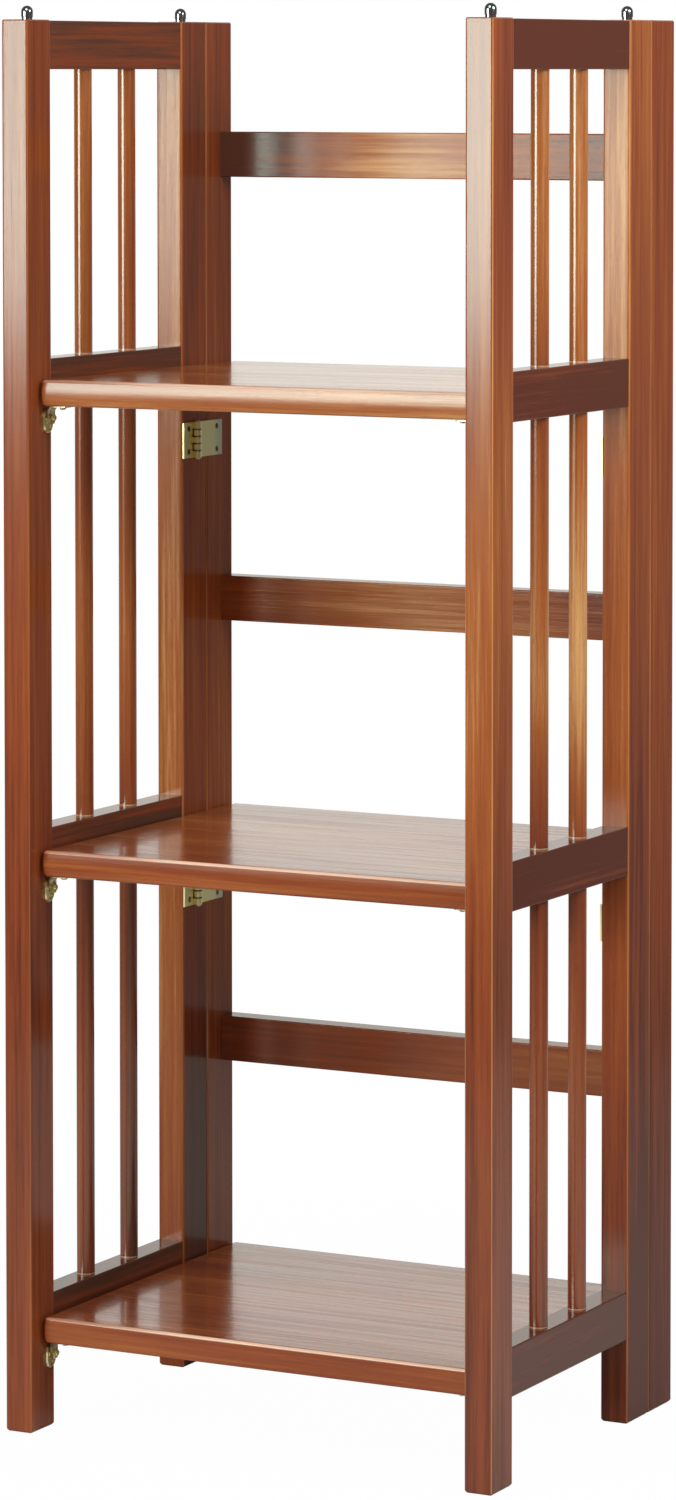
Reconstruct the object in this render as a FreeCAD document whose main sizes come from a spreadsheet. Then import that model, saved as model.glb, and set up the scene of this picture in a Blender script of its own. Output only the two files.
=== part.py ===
import FreeCAD, Part
import math
import os
import Sketcher
from FreeCAD import Placement, Rotation, Vector

# Folding bookcase: a back frame, two ladder-like side frames that hinge on it, and
# three shelves that swing up on pivot pins so that the side frames can fold in.
# Frame of the model: origin on the floor under the middle, +Z up, front towards -Y.

doc = FreeCAD.newDocument("FoldingBookcase")
sheet = doc.addObject("Spreadsheet::Sheet", "Sizes")


class Size:
    """A number together with the spreadsheet formula that gives it."""

    def __init__(self, number, formula):
        self.number = number
        self.formula = formula

    def __add__(self, other):
        return Size(self.number + number_of(other), f"({self.formula} + {formula_of(other)})")

    def __sub__(self, other):
        return Size(self.number - number_of(other), f"({self.formula} - {formula_of(other)})")

    def __mul__(self, other):
        return Size(self.number * number_of(other), f"({self.formula} * {formula_of(other)})")

    def __truediv__(self, other):
        return Size(self.number / number_of(other), f"({self.formula} / {formula_of(other)})")

    def __neg__(self):
        return self * -1

    def __rsub__(self, other):
        return -self + other

    __radd__ = __add__
    __rmul__ = __mul__


def number_of(amount):
    return amount.number if isinstance(amount, Size) else float(amount)


def formula_of(amount):
    return amount.formula if isinstance(amount, Size) else repr(float(amount))


rows = []


def size(name, number, meaning):
    """Write one driving dimension into the sheet and return it."""
    rows.append(name)
    row = len(rows)
    sheet.set(f"A{row}", meaning)
    sheet.set(f"B{row}", repr(number))
    sheet.setAlias(f"B{row}", name)
    return Size(number, f"Sizes.{name}")


# ---------------------------------------------------------------- driving dimensions
width = size("width", 371.2, "outside to outside of the side frames")
depth = size("depth", 284.0, "front of the front posts to back of the stiles")
height = size("height", 965.2, "floor to the tops of the posts")

post_thick = size("post_thick", 20.6, "posts, across the bookcase")
front_post_deep = size("front_post_deep", 31.0, "front posts, front to back")
rear_post_deep = size("rear_post_deep", 35.0, "rear posts, front to back")
stile_deep = size("stile_deep", 38.0, "back stiles, front to back")
stile_proud = size("stile_proud", 0.3, "stile's inner face past the post's, under the hinge leaf")
seam_gap = size("seam_gap", 0.3, "rear post to stile")
arris = size("arris", 1.8, "rounding of the long edges of posts and stiles")
foot_bevel = size("foot_bevel", 1.6, "bevel round the feet of posts and stiles")
top_bevel = size("top_bevel", 0.8, "bevel round the tops of posts and stiles")

rail_thick = size("rail_thick", 19.1, "side rails, across the bookcase")
rail_high = size("rail_high", 33.2, "side rails")
rail_drop = size("rail_drop", 0.5, "top side rail below the post tops")
rail_under_shelf = size("rail_under_shelf", 1.6, "side rail's lower edge below the shelf's")
rail_arris = size("rail_arris", 0.8, "rounding of the long edges of all rails")
back_rail_thick = size("back_rail_thick", 17.0, "back rails, front to back")
back_rail_high = size("back_rail_high", 32.5, "back rails")
back_rail_first = size("back_rail_first", 213.8, "lower edge of the lowest back rail")
back_rail_drop = size("back_rail_drop", 78.5, "top back rail's upper edge below the post tops")
tenon_thick = size("tenon_thick", 8.0, "tenons on all rails")
tenon_high = size("tenon_high", 24.0, "tenons on all rails")
tenon_long = size("tenon_long", 9.0, "tenons on all rails")
glue_line = size("glue_line", 0.05, "round each tenon, spindle end and pressed pin")

spindle_thick = size("spindle_thick", 12.5, "spindles")
spindle_seat = size("spindle_seat", 10.0, "spindle end inside a rail")

shelf_thick = size("shelf_thick", 18.0, "shelves")
shelf_first = size("shelf_first", 60.2, "underside of the lowest shelf")
shelf_pitch = size("shelf_pitch", 321.4, "shelf to shelf")
shelf_setback = size("shelf_setback", 12.0, "front of the posts to the shelf's front")
shelf_back_inset = size("shelf_back_inset", 1.0, "back of the stiles to the shelf's back")
shelf_side_gap = size("shelf_side_gap", 1.5, "shelf's end to the stile")
shelf_bulge = size("shelf_bulge", 2.1, "middle of the shelf's front past its upper and lower edge")
shelf_edge = size("shelf_edge", 3.0, "rounding of the shelf's edges and corners")

pivot_inset = size("pivot_inset", 27.0, "back of the stiles to the shelf's pivot")
pivot_thick = size("pivot_thick", 6.0, "pivot pins")
pivot_in_stile = size("pivot_in_stile", 12.0, "pivot pin inside the stile")
pivot_in_shelf = size("pivot_in_shelf", 20.0, "pivot pin inside the shelf")
running_gap = size("running_gap", 0.05, "round a pin that its piece turns on")

stack_neck = size("stack_neck", 7.4, "stacking pin where it enters the post")
stack_head = size("stack_head", 8.2, "stacking pin's head")
stack_neck_rise = size("stack_neck_rise", 1.8, "neck above the post's top")
stack_rise = size("stack_rise", 9.6, "stacking pin above the post's top")
stack_seat = size("stack_seat", 14.0, "stacking pin inside the post")
stack_inset = size("stack_inset", 17.0, "front of each post to its stacking pin")
socket_gap = size("socket_gap", 0.2, "round the head of the pin below, in a foot")
socket_spare = size("socket_spare", 1.4, "socket's end to the head of the pin below")

leaf_thick = size("leaf_thick", 1.2, "hinge leaves")
leaf_high = size("leaf_high", 25.4, "hinge leaves")
leaf_under_shelf = size("leaf_under_shelf", 23.2, "hinge leaf's top below the shelf's underside")
post_leaf_wide = size("post_leaf_wide", 15.5, "hinge axis to the edge of the post's leaf")
stile_leaf_wide = size("stile_leaf_wide", 39.4, "hinge axis to the edge of the stile's leaf")
hinge_forward = size("hinge_forward", 18.7, "rear post's back to the hinge axis")
barrel_thick = size("barrel_thick", 6.0, "hinge barrel")
barrel_gap = size("barrel_gap", 0.2, "hinge barrel to the wood and to the other leaf")
knuckle_gap = size("knuckle_gap", 0.4, "knuckle to knuckle")
hinge_pin_thick = size("hinge_pin_thick", 3.0, "hinge pin")
hinge_tip_thick = size("hinge_tip_thick", 4.4, "hinge pin's bevelled tips")
hinge_tip_high = size("hinge_tip_high", 1.2, "hinge pin's bevelled tips")
screw_thick = size("screw_thick", 2.4, "shank of the wood screws")
screw_head = size("screw_head", 4.6, "head of the wood screws")
screw_long = size("screw_long", 10.0, "wood screws, under the head")
pan_head_high = size("pan_head_high", 1.4, "head of the clip screws")
screw_recess = size("screw_recess", 1.6, "driver recess in the head of a hinge screw")
screw_recess_deep = size("screw_recess_deep", 0.8, "driver recess in the head of a hinge screw")
screw_sunk = size("screw_sunk", 0.2, "head of a hinge screw below the leaf's face")
leaf_screw_inset = size("leaf_screw_inset", 7.4, "leaf's outer edge to its screws")
leaf_screw_pitch = size("leaf_screw_pitch", 16.4, "screw to screw on a leaf")

keeper_inset = size("keeper_inset", 23.8, "front of the posts to the middle of a keeper plate")
keeper_wide = size("keeper_wide", 12.0, "keeper plate")
keeper_high = size("keeper_high", 16.5, "keeper plate")
keeper_thick = size("keeper_thick", 2.0, "keeper plate")
keeper_rim = size("keeper_rim", 1.7, "rim of the keeper plate, seen from the front")
keeper_dish = size("keeper_dish", 0.8, "dish in the keeper plate")
keeper_top_gap = size("keeper_top_gap", 2.5, "keeper plate's top below the shelf's underside")
stud_drop = size("stud_drop", 8.4, "stud below the shelf's underside")
stud_neck = size("stud_neck", 3.0, "stud where the clip sits")
stud_neck_long = size("stud_neck_long", 3.5, "stud, keeper plate to head")
stud_flange = size("stud_flange", 5.2, "stud's flange in the keeper's dish")
stud_head = size("stud_head", 4.4, "stud's head")
stud_head_long = size("stud_head_long", 1.6, "stud's head")
stud_socket = size("stud_socket", 1.9, "driver socket in the stud's head")
stud_socket_deep = size("stud_socket_deep", 1.0, "driver socket in the stud's head")
stud_shank_long = size("stud_shank_long", 12.0, "stud's screw inside the post")

clip_thick = size("clip_thick", 1.2, "catch clip's sheet")
clip_wide = size("clip_wide", 8.4, "catch clip, front to back")
clip_tab = size("clip_tab", 14.0, "catch clip's tab under the shelf")
clip_bend = size("clip_bend", 4.5, "outside of the clip's bend")
clip_past_stud = size("clip_past_stud", 4.2, "stud's middle to the clip's lower end")
clip_corner = size("clip_corner", 1.6, "rounding of the clip's prongs")
slot_gap = size("slot_gap", 0.4, "clip's slot past the stud on each side")
seat_gap = size("seat_gap", 0.1, "clip's slot above the stud")
clip_screw_inset = size("clip_screw_inset", 4.2, "tab's end to its screw")

doc.recompute()

# ---------------------------------------------------------------- places that pieces share
SIDES = (("left", -1), ("right", 1))
LEVELS = ("lower", "middle", "top")
KNUCKLES = 5

stile_thick = post_thick + stile_proud
post_inner = width / 2 - post_thick
stile_inner = width / 2 - stile_thick
post_front = -depth / 2
stile_front = depth / 2 - stile_deep
post_back = stile_front - seam_gap
bay_front = post_front + front_post_deep
bay_back = post_back - rear_post_deep
bay = bay_back - bay_front
shelf_bottoms = [shelf_first + shelf_pitch * level for level in range(3)]
rail_bottoms = [bottom - rail_under_shelf for bottom in shelf_bottoms]
rail_bottoms.append(height - rail_drop - rail_high)
rail_names = ("lower", "middle", "upper", "top")
back_rail_last = height - back_rail_drop - back_rail_high
back_rail_bottoms = [back_rail_first, (back_rail_first + back_rail_last) / 2, back_rail_last]
spindle_places = [bay_front + bay * third / 3 for third in (1, 2)]
pivot_y = depth / 2 - pivot_inset
hinge_y = post_back - hinge_forward
hinge_x = post_inner - barrel_thick / 2 - barrel_gap
hinge_middles = [shelf_bottoms[level] - leaf_under_shelf - leaf_high / 2 for level in (1, 2)]
hinge_names = ("lower", "upper")
keeper_y = post_front + keeper_inset
stud_heights = [bottom - stud_drop for bottom in shelf_bottoms]
clip_outer = post_inner - keeper_thick - (stud_neck_long - clip_thick) / 2
clip_screw_x = clip_outer - clip_tab + clip_screw_inset
leaf_screw_heights = [middle + leaf_screw_pitch * half / 2 for middle in hinge_middles for half in (-1, 1)]
post_leaf_screw_y = hinge_y - post_leaf_wide + leaf_screw_inset
stile_leaf_screw_y = hinge_y + stile_leaf_wide - leaf_screw_inset

pieces = []


# ---------------------------------------------------------------- drawing tools
def tie(thing, name, amount):
    """Bind a property to the sheet through the formula that the amount carries."""
    thing.setExpression(name, formula_of(amount))


def put(thing, x=0, y=0, z=0, turn=None):
    """Place a piece, with each coordinate bound to the sheet."""
    if turn is not None:
        thing.Placement = Placement(Vector(), turn)
    for axis, amount in (("x", x), ("y", y), ("z", z)):
        tie(thing, f"Placement.Base.{axis}", amount)


def named(thing, label):
    thing.Label = label
    pieces.append(thing)
    return thing


def draw(sketch, corners, mirror=1):
    """Close an outline through the corners. A corner is (x, y) after a straight run, or
    (x, y, radius, turn) after an arc, where turn is 1 for counter-clockwise."""
    base = sketch.GeometryCount
    points = [Vector(mirror * number_of(corner[0]), number_of(corner[1]), 0) for corner in corners]
    for place, corner in enumerate(corners):
        start, end = points[place - 1], points[place]
        if len(corner) == 2:
            sketch.addGeometry(Part.LineSegment(start, end), False)
            continue
        chord = end - start
        radius = number_of(corner[2])
        reach = math.sqrt(max(radius ** 2 - (chord.Length / 2) ** 2, 0.0))
        square = Vector(-chord.y, chord.x, 0).normalize() * mirror * corner[3]
        centre = (start + end) / 2 + square * reach
        bulge = centre - square * radius
        sketch.addGeometry(Part.Arc(start, bulge, end), False)
    count = len(corners)
    for place, corner in enumerate(corners):
        # An arc that runs clockwise is stored reversed, so its ends are found by place.
        edge = base + place
        edge_end = end_nearest(sketch, edge, points[place])
        following = base + (place + 1) % count
        following_start = end_nearest(sketch, following, points[place])
        sketch.addConstraint(Sketcher.Constraint("Coincident", edge, edge_end, following, following_start))
        fix_point(sketch, edge, edge_end, mirror * corner[0], corner[1])
        if len(corner) == 4:
            measure = sketch.addConstraint(Sketcher.Constraint("Radius", edge, number_of(corner[2])))
            tie(sketch, f"Constraints[{measure}]", corner[2])


def end_nearest(sketch, edge, point):
    """1 for the start of the edge and 2 for its end, whichever lies on the point."""
    to_start = sketch.getPoint(edge, 1).distanceToPoint(point)
    to_end = sketch.getPoint(edge, 2).distanceToPoint(point)
    return 1 if to_start < to_end else 2


def fix_point(sketch, edge, end, x, y):
    """Hold one point of the sketch at x and y from the sketch's origin."""
    for kind, amount in (("DistanceX", x), ("DistanceY", y)):
        measure = sketch.addConstraint(Sketcher.Constraint(kind, -1, 1, edge, end, number_of(amount)))
        tie(sketch, f"Constraints[{measure}]", amount)


def draw_circles(sketch, places, radius):
    for x, y in places:
        centre = Vector(number_of(x), number_of(y), 0)
        edge = sketch.addGeometry(Part.Circle(centre, Vector(0, 0, 1), number_of(radius)), False)
        measure = sketch.addConstraint(Sketcher.Constraint("Radius", edge, number_of(radius)))
        tie(sketch, f"Constraints[{measure}]", radius)
        fix_point(sketch, edge, 3, x, y)


def rectangle(x_low, x_high, y_low, y_high):
    return [(x_low, y_low), (x_high, y_low), (x_high, y_high), (x_low, y_high)]


def stadium(middle_y, wide, high):
    """An upright oval with straight flanks and round ends, as quarter arcs."""
    radius = wide / 2
    top, bottom = middle_y + high / 2, middle_y - high / 2
    return [(radius, bottom + radius, radius, 1), (radius, top - radius), (0, top, radius, 1),
            (-radius, top - radius, radius, 1), (-radius, bottom + radius), (0, bottom, radius, 1)]


def new_body(label):
    return named(doc.addObject("PartDesign::Body", label), label)


PLANES = {"X": ("YZ_Plane", 1), "Y": ("XZ_Plane", -1), "Z": ("XY_Plane", 1)}


def sketch_on(body, name, axis, level=0):
    """A sketch square to the axis, at a level along it, on the body's own origin plane."""
    role, sign = PLANES[axis]
    sketch = body.newObject("Sketcher::SketchObject", name)
    support = [item for item in body.Origin.OriginFeatures if item.Role == role]
    sketch.AttachmentSupport = (support[0], [""])
    sketch.MapMode = "FlatFace"
    tie(sketch, "AttachmentOffset.Base.z", sign * level)
    return sketch


def pad(body, name, sketch, length, midplane=False):
    feature = body.newObject("PartDesign::Pad", name)
    feature.Profile = sketch
    tie(feature, "Length", length)
    feature.Midplane = midplane
    feature.recompute(True)
    return feature


def cut(body, name, sketch, axis, towards, length):
    """Pocket the sketch along the axis, and make sure that it removes wood or metal."""
    before = body.Tip.Shape.Volume
    feature = body.newObject("PartDesign::Pocket", name)
    feature.Profile = sketch
    tie(feature, "Length", length)
    feature.Reversed = (towards * PLANES[axis][1]) > 0
    feature.recompute(True)
    if not feature.Shape.Volume < before:
        raise RuntimeError(f"{body.Label}: {name} cuts nothing")
    return feature


def edges_where(body, test):
    """Names of the edges of the body's last feature that pass the test."""
    return [f"Edge{place}" for place, edge in enumerate(body.Tip.Shape.Edges, 1) if test(edge)]


def dress(body, kind, name, amount, test):
    """Round or bevel the edges of the body that pass the test."""
    base = body.Tip
    names = edges_where(body, test)
    if not names:
        raise RuntimeError(f"{body.Label}: {name} finds no edge")
    feature = body.newObject(f"PartDesign::{kind}", name)
    feature.Base = (base, names)
    tie(feature, "Radius" if kind == "Fillet" else "Size", amount)
    feature.recompute(True)
    return feature


def runs_along(edge, axis):
    """True for a straight edge along the axis."""
    if not isinstance(edge.Curve, Part.Line):
        return False
    return abs(getattr(edge.Curve.Direction, axis)) > 0.999


def near(one, other):
    return abs(one - number_of(other)) < 0.01


def turned(profile, name, turn, x, y, z):
    """One solid of revolution of a shared profile, whose axis is the profile's own Y."""
    solid = doc.addObject("Part::Revolution", name)
    solid.Source = profile
    solid.Axis = Vector(0, 1, 0)
    solid.Base = Vector(0, 0, 0)
    solid.Angle = 360
    solid.Solid = True
    put(solid, x, y, z, turn)
    return solid


def group(label, solids):
    node = doc.addObject("Part::Compound", label)
    node.Links = solids
    return named(node, label)


TO_RIGHT = Rotation(Vector(0, 0, 1), -90)
TO_LEFT = Rotation(Vector(0, 0, 1), 90)
TO_TOP = Rotation(Vector(1, 0, 0), 90)


def away_from_wood(side):
    """Turns a profile's axis to point from the side frame into the bookcase."""
    return TO_LEFT if side > 0 else TO_RIGHT


# ---------------------------------------------------------------- posts and stiles
def post(label, side, place):
    """A side-frame post: mortises for the four rails, a stacking pin's bore in its top, a
    socket in its foot, and pilot holes for the brassware on its inner face."""
    body = new_body(label)
    facing = 1 if place == "front" else -1
    front = post_front if place == "front" else bay_back
    deep = front_post_deep if place == "front" else rear_post_deep
    middle_y = front + deep / 2
    put(body, side * (width - post_thick) / 2, middle_y)
    plan = sketch_on(body, "post_plan", "Z")
    draw(plan, rectangle(-post_thick / 2, post_thick / 2, -deep / 2, deep / 2))
    pad(body, "post_bar", plan, height)
    soften_bar(body)
    mortises = sketch_on(body, "mortise_outlines", "Y", facing * deep / 2)
    for bottom in rail_bottoms:
        draw(mortises, mortise(bottom + rail_high / 2))
    cut(body, "mortises", mortises, "Y", -facing, tenon_long + glue_line)
    bore = sketch_on(body, "pin_bore_outline", "Z", height)
    draw_circles(bore, [(0, stack_inset - deep / 2)], stack_neck / 2 + glue_line)
    cut(body, "pin_bore", bore, "Z", -1, stack_seat)
    socket = sketch_on(body, "socket_outline", "Z")
    draw_circles(socket, [(0, stack_inset - deep / 2)], stack_head / 2 + socket_gap)
    cut(body, "socket", socket, "Z", 1, stack_rise + socket_spare)
    holes = sketch_on(body, "pilot_outlines", "X", -side * post_thick / 2)
    if place == "front":
        places = [(keeper_y - middle_y, level) for level in stud_heights]
        cut_depth = stud_shank_long + glue_line
    else:
        places = [(post_leaf_screw_y - middle_y, level) for level in leaf_screw_heights]
        cut_depth = screw_long
    draw_circles(holes, places, screw_thick / 2 + glue_line)
    cut(body, "pilot_holes", holes, "X", side, cut_depth)
    return body


def soften_bar(body):
    """Round an upright bar's long edges and bevel its ends."""
    dress(body, "Fillet", "arrises", arris, lambda edge: runs_along(edge, "z"))
    dress(body, "Chamfer", "foot_bevel", foot_bevel, lambda edge: near(edge.BoundBox.ZMax, 0))
    dress(body, "Chamfer", "top_bevel", top_bevel, lambda edge: near(edge.BoundBox.ZMin, height))


def mortise(middle):
    """The outline of a mortise round a tenon whose middle is at that height."""
    wide = tenon_thick / 2 + glue_line
    high = tenon_high / 2 + glue_line
    return rectangle(-wide, wide, middle - high, middle + high)


def stile(label, side):
    """A back stile: mortises for the back rails and bores for the shelves' pivot pins."""
    body = new_body(label)
    put(body, side * (width - stile_thick) / 2, depth / 2 - stile_deep / 2)
    plan = sketch_on(body, "stile_plan", "Z")
    draw(plan, rectangle(-stile_thick / 2, stile_thick / 2, -stile_deep / 2, stile_deep / 2))
    pad(body, "stile_bar", plan, height)
    soften_bar(body)
    inner_face = -side * stile_thick / 2
    mortises = sketch_on(body, "mortise_outlines", "X", inner_face)
    rail_y = stile_deep / 2 - back_rail_thick / 2
    for bottom in back_rail_bottoms:
        middle = bottom + back_rail_high / 2
        wide = tenon_thick / 2 + glue_line
        high = tenon_high / 2 + glue_line
        draw(mortises, rectangle(rail_y - wide, rail_y + wide, middle - high, middle + high))
    cut(body, "mortises", mortises, "X", side, tenon_long + glue_line)
    bores = sketch_on(body, "pivot_bore_outlines", "X", inner_face)
    middle_y = depth / 2 - stile_deep / 2
    places = [(pivot_y - middle_y, bottom + shelf_thick / 2) for bottom in shelf_bottoms]
    draw_circles(bores, places, pivot_thick / 2 + glue_line)
    cut(body, "pivot_bores", bores, "X", side, pivot_in_stile)
    holes = sketch_on(body, "pilot_outlines", "X", inner_face)
    draw_circles(holes, [(stile_leaf_screw_y - middle_y, level) for level in leaf_screw_heights],
                 screw_thick / 2 + glue_line)
    cut(body, "pilot_holes", holes, "X", side, screw_long)
    return body


# ---------------------------------------------------------------- rails and spindles
def side_rail(label, side, bottom, bored_above, bored_below):
    """A side rail with a stub tenon at each end and blind bores for the spindles."""
    body = new_body(label)
    put(body, side * (width - post_thick) / 2, bay_front + bay / 2, bottom)
    section = sketch_on(body, "rail_section", "Y")
    draw(section, rectangle(-rail_thick / 2, rail_thick / 2, 0, rail_high))
    pad(body, "rail_bar", section, bay, midplane=True)
    dress(body, "Fillet", "rail_arrises", rail_arris, lambda edge: runs_along(edge, "y"))
    tenon = sketch_on(body, "tenon_section", "Y")
    draw(tenon, rectangle(-tenon_thick / 2, tenon_thick / 2,
                          (rail_high - tenon_high) / 2, (rail_high + tenon_high) / 2))
    pad(body, "tenons", tenon, bay + tenon_long * 2, midplane=True)
    for bored, name, level, towards in ((bored_above, "upper_bores", rail_high, -1),
                                        (bored_below, "lower_bores", 0, 1)):
        if bored:
            bores = sketch_on(body, f"{name}_outline", "Z", level)
            places = [(0, y - (bay_front + bay / 2)) for y in spindle_places]
            draw_circles(bores, places, spindle_thick / 2 + glue_line)
            cut(body, name, bores, "Z", towards, spindle_seat)
    return body


def back_rail(label, bottom):
    """A back rail, flush with the back of the stiles and tenoned into them."""
    body = new_body(label)
    put(body, 0, depth / 2 - back_rail_thick / 2, bottom)
    section = sketch_on(body, "rail_section", "X")
    draw(section, rectangle(-back_rail_thick / 2, back_rail_thick / 2, 0, back_rail_high))
    pad(body, "rail_bar", section, stile_inner * 2, midplane=True)
    dress(body, "Fillet", "rail_arrises", rail_arris, lambda edge: runs_along(edge, "x"))
    tenon = sketch_on(body, "tenon_section", "X")
    draw(tenon, rectangle(-tenon_thick / 2, tenon_thick / 2,
                          (back_rail_high - tenon_high) / 2, (back_rail_high + tenon_high) / 2))
    pad(body, "tenons", tenon, (stile_inner + tenon_long) * 2, midplane=True)
    return body


def spindles(label, side, rail_below, rail_above):
    """The two spindles of one bay, from the bore in one rail to the bore in the next."""
    rods = []
    foot = rail_below + rail_high - spindle_seat
    for number, y in enumerate(spindle_places, 1):
        rod = doc.addObject("Part::Cylinder", f"{label}_{number}")
        tie(rod, "Radius", spindle_thick / 2)
        tie(rod, "Height", rail_above + spindle_seat - foot)
        put(rod, side * (width - post_thick) / 2, y, foot)
        rods.append(rod)
    return group(label, rods)


# ---------------------------------------------------------------- shelves and their pivots
def shelf(label, bottom):
    """A solid shelf with a bulging front, bored at both ends for its pivot pins."""
    body = new_body(label)
    put(body, 0, 0, bottom)
    half = stile_inner - shelf_side_gap
    front = post_front + shelf_setback
    back = depth / 2 - shelf_back_inset
    section = sketch_on(body, "shelf_section", "X")
    edge_y = front + shelf_bulge
    front_radius = (shelf_bulge * shelf_bulge + shelf_thick * shelf_thick / 4) / (shelf_bulge * 2)
    draw(section, [(back, 0), (back, shelf_thick), (edge_y, shelf_thick), (edge_y, 0, front_radius, 1)])
    pad(body, "shelf_board", section, half * 2, midplane=True)
    dress(body, "Fillet", "shelf_edges", shelf_edge, lambda edge: True)
    for name, side in SIDES:
        bore = sketch_on(body, f"{name}_bore_outline", "X", side * half)
        draw_circles(bore, [(pivot_y, shelf_thick / 2)], pivot_thick / 2 + running_gap)
        cut(body, f"{name}_bore", bore, "X", -side, pivot_in_shelf + running_gap)
    holes = sketch_on(body, "pilot_outlines", "Z")
    places = [(side * clip_screw_x, keeper_y) for name, side in SIDES]
    draw_circles(holes, places, screw_thick / 2 + glue_line)
    cut(body, "pilot_holes", holes, "Z", 1, screw_long)
    return body


def pivot_pins(label):
    """Plain steel pins, pressed into the stiles, on which the shelves turn."""
    pins = []
    for bottom in shelf_bottoms:
        for name, side in SIDES:
            pin = doc.addObject("Part::Cylinder", f"pivot_pin_{name}")
            tie(pin, "Radius", pivot_thick / 2)
            tie(pin, "Height", pivot_in_stile + shelf_side_gap + pivot_in_shelf)
            start = stile_inner + pivot_in_stile
            put(pin, side * start, pivot_y, bottom + shelf_thick / 2,
                Rotation(Vector(0, 0, 1), Vector(-side, 0, 0)))
            pins.append(pin)
    return group(label, pins)


# ---------------------------------------------------------------- stacking pins
def stacking_pin(label, side, y):
    """A turned pin with a round head, which enters the foot of a bookcase stacked on top."""
    body = new_body(label)
    put(body, side * (width - post_thick) / 2, y, height)
    profile = sketch_on(body, "pin_profile", "Y")
    neck, head = stack_neck / 2, stack_head / 2
    draw(profile, [(0, -stack_seat), (neck, -stack_seat), (neck, stack_neck_rise),
                   (head, stack_neck_rise + (head - neck)), (head, stack_rise - head),
                   (0, stack_rise, head, 1)])
    feature = body.newObject("PartDesign::Revolution", "pin_turning")
    feature.Profile = profile
    feature.ReferenceAxis = (profile, ["V_Axis"])
    feature.Angle = 360
    return body


# ---------------------------------------------------------------- hinges
knuckle_long = (leaf_high - knuckle_gap * (KNUCKLES - 1)) / KNUCKLES
knuckle_pitch = knuckle_long + knuckle_gap
barrel_clear = barrel_thick / 2 + barrel_gap


def hinge_leaf(label, side, middle, rearward):
    """One leaf of a butt hinge. Its tongues and knuckles interleave with the other leaf's:
    the post's leaf has the first, third and fifth knuckle, the stile's the others."""
    body = new_body(label)
    put(body, side * hinge_x, hinge_y, middle)
    out = 1 if rearward else -1
    reach = stile_leaf_wide if rearward else post_leaf_wide
    face = (stile_inner if rearward else post_inner) - hinge_x
    own = range(1, KNUCKLES, 2) if rearward else range(0, KNUCKLES, 2)
    base = -leaf_high / 2

    comb = [(out * reach, leaf_high / 2), (out * reach, base)]
    for number in range(KNUCKLES):
        low = base + knuckle_pitch * number
        if number in own:
            if number > 0:
                comb.append((out * barrel_clear, low))
            comb += [(0, low), (0, low + knuckle_long)]
            if number < KNUCKLES - 1:
                comb.append((out * barrel_clear, low + knuckle_long))
    if rearward:
        comb.insert(2, (out * barrel_clear, base))
        comb.append((out * barrel_clear, leaf_high / 2))
    plate = sketch_on(body, "leaf_outline", "X", side * (face - leaf_thick / 2) - leaf_thick / 2)
    draw(plate, comb)
    pad(body, "leaf_plate", plate, leaf_thick)

    ring = sketch_on(body, "knuckle_outline", "Z", base + knuckle_pitch * own[0])
    draw_circles(ring, [(0, 0)], barrel_thick / 2)
    first = pad(body, "first_knuckle", ring, knuckle_long)
    row = body.newObject("PartDesign::LinearPattern", "knuckles")
    row.Originals = [first]
    row.Direction = (ring, ["N_Axis"])
    tie(row, "Length", knuckle_pitch * 2 * (len(own) - 1))
    row.Occurrences = len(own)
    body.Tip = row
    row.recompute(True)

    bore = sketch_on(body, "pin_bore_outline", "Z", leaf_high / 2)
    draw_circles(bore, [(0, 0)], hinge_pin_thick / 2 + running_gap)
    cut(body, "pin_bore", bore, "Z", -1, leaf_high)
    holes = sketch_on(body, "screw_hole_outlines", "X", side * (face - leaf_thick))
    screw_y = out * (reach - leaf_screw_inset)
    draw_circles(holes, [(screw_y, leaf_screw_pitch * half / 2) for half in (-1, 1)],
                 screw_thick / 2 + glue_line)
    cut(body, "screw_holes", holes, "X", side, leaf_thick)
    outer_face = number_of(side * (face - leaf_thick))
    dress(body, "Chamfer", "countersinks", (screw_head - screw_thick) / 2,
          lambda edge: isinstance(edge.Curve, Part.Circle) and near(edge.Curve.Center.x, outer_face)
          and near(edge.Curve.Center.y, screw_y))
    return body


def profile_of(name, corners):
    """A free half-profile for turned pieces: x is the radius and y runs along the axis."""
    profile = doc.addObject("Sketcher::SketchObject", name)
    draw(profile, corners)
    return profile


def hinge_pins(label, side, profile):
    return group(label, [turned(profile, f"{label}_{name}", TO_TOP, side * hinge_x, hinge_y, middle)
                         for name, middle in zip(hinge_names, hinge_middles)])


def hinge_pin_profile():
    """A straight pin with a bevelled tip at each end, past the outer knuckles."""
    shaft, tip = hinge_pin_thick / 2, hinge_tip_thick / 2
    end = leaf_high / 2 + running_gap
    far_end = end + hinge_tip_high
    bevel = hinge_tip_high / 2
    return profile_of("hinge_pin_profile", [
        (0, -far_end), (tip - bevel, -far_end), (tip, -far_end + bevel), (tip, -end), (shaft, -end),
        (shaft, end), (tip, end), (tip, far_end - bevel), (tip - bevel, far_end), (0, far_end)])


def leaf_screw_profile():
    """A countersunk wood screw, pointing down from the leaf's face at zero. Its head is sunk
    a little, with a pointed recess for the driver."""
    shank, head = screw_thick / 2, screw_head / 2 - glue_line - screw_sunk
    return profile_of("leaf_screw_profile", [
        (0, -screw_sunk - screw_recess_deep), (screw_recess / 2, -screw_sunk), (head, -screw_sunk),
        (shank, -screw_sunk - (head - shank)), (shank, -screw_long + shank), (0, -screw_long)])


def leaf_screws(label, sides, profile, face, y):
    screws = []
    for side in sides:
        for level in leaf_screw_heights:
            screws.append(turned(profile, f"{label}_screw", away_from_wood(side),
                                 side * (face - leaf_thick), y, level))
    return group(label, screws)


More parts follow.
